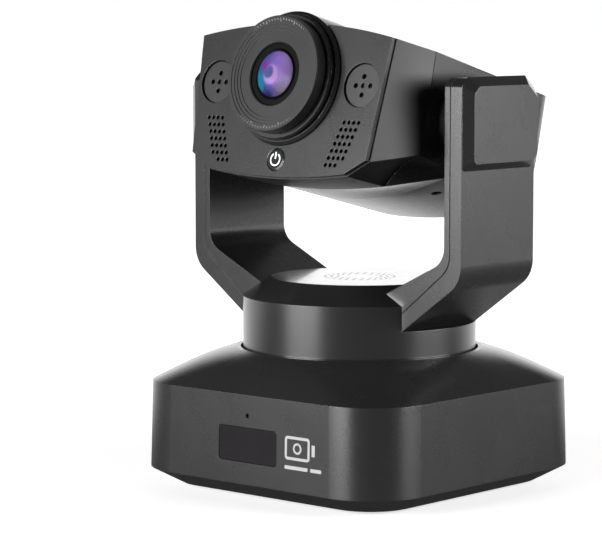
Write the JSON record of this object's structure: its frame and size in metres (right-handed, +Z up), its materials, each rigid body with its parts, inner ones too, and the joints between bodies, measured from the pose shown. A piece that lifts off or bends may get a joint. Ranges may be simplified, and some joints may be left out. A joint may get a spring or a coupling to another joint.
{
  "type": "pan-tilt-zoom camera",
  "caption": "Desktop pan-tilt camera: a rounded square base, a turntable drum and a cranked yoke that carries a wide head with a stepped round lens.",
  "frame": {"origin": "centre of the footprint on the supporting surface, on the pan axis", "axes": "+Z up, -Y towards what the lens faces, +X to the right of a viewer who faces the lens"},
  "size_m": [0.149, 0.135, 0.1919],
  "materials": {
    "housing_plastic": "satin, moulded, finely textured",
    "tray_plastic": "matt, moulded",
    "inner_plastic": "matt, moulded",
    "lens_black": "black anodised, turned",
    "retainer_black": "matt black",
    "optical_glass": "coated",
    "smoked_plastic": "polished, infrared-clear",
    "light_pipe": "clear, moulded",
    "button_plastic": "polished",
    "rubber": "matt",
    "brass": "machined",
    "steel": "zinc plated",
    "motor_can": "plated",
    "fixings": "blackened",
    "gear_nylon": "moulded, self-lubricating",
    "circuit_board": "solder mask",
    "component_black": "moulded"
  },
  "bodies": {
    "base": {"base_housing": "housing_plastic", "base_tray": "tray_plastic", "rubber_feet": "rubber", "tripod_insert": "brass", "ir_window": "smoked_plastic", "status_light_pipe": "light_pipe", "main_board": "circuit_board", "board_screws": "fixings", "ir_receiver": "circuit_board", "port_panel": "tray_plastic", "dc_jack": "component_black", "usb_port": "steel", "pan_chassis": "inner_plastic", "tray_screws": "fixings", "pan_bush": "gear_nylon", "pan_motor": "motor_can", "pan_motor_screws": "fixings"},
    "pan_drive_pinion": {"pan_motor_shaft": "steel", "pan_pinion": "brass"},
    "yoke": {"turntable_drum": "housing_plastic", "turntable_top": "housing_plastic", "turntable_floor": "inner_plastic", "floor_screws": "fixings", "pan_gear": "gear_nylon", "pan_spindle": "steel", "spindle_clip": "steel", "yoke_frame": "steel", "right_arm_shell": "housing_plastic", "right_arm_cover": "housing_plastic", "left_arm_shell": "housing_plastic", "left_arm_cover": "housing_plastic", "arm_pads": "housing_plastic", "arm_screws": "fixings", "right_trunnion": "steel", "left_trunnion": "steel", "tilt_gear": "gear_nylon"},
    "head": {"face_plate": "housing_plastic", "front_shell": "housing_plastic", "rear_shell": "housing_plastic", "head_screws": "fixings", "head_chassis": "inner_plastic", "head_bushes": "gear_nylon", "tilt_motor": "motor_can", "tilt_motor_screws": "fixings", "lens_collar": "lens_black", "lens_barrel": "lens_black", "lens_front_ring": "lens_black", "lens_retainer": "retainer_black", "front_glass": "optical_glass", "lens_tube": "lens_black", "inner_glass": "optical_glass", "sensor_board": "circuit_board", "image_sensor": "component_black", "mic_caps": "button_plastic", "microphones": "component_black", "speakers": "inner_plastic", "button_switch": "circuit_board"},
    "tilt_drive_pinion": {"tilt_motor_shaft": "steel", "tilt_pinion": "brass"},
    "button": {"power_button": "button_plastic"}
  },
  "joints": [
    {"name": "pan", "type": "hinge", "parent": "base", "child": "yoke", "pos_m": [0, 0, 0], "axis": [0, 0, 1], "range_deg": [-170, 170]},
    {"name": "pan_pinion_spin", "type": "hinge", "parent": "base", "child": "pan_drive_pinion", "pos_m": [0, 0.036, 0.046], "axis": [0, 0, 1], "range_deg": [-860, 860]},
    {"name": "tilt", "type": "hinge", "parent": "yoke", "child": "head", "pos_m": [0, 0, 0.149], "axis": [-1, 0, 0], "range_deg": [-43.5, 46.5]},
    {"name": "tilt_pinion_spin", "type": "hinge", "parent": "head", "child": "tilt_drive_pinion", "pos_m": [0.044, 0.02334, 0.1434], "axis": [-1, 0, 0], "range_deg": [-132, 141]},
    {"name": "button_press", "type": "slide", "parent": "head", "child": "button", "axis": [0, 0.9724, -0.2334], "range_m": [0, 0.0008], "stiffness_N_per_m": 1500, "springref_m": -0.0005}
  ],
  "couplings": [
    {"joint": "pan_pinion_spin", "follows": "pan", "ratio": -5},
    {"joint": "tilt_pinion_spin", "follows": "tilt", "ratio": 3}
  ]
}
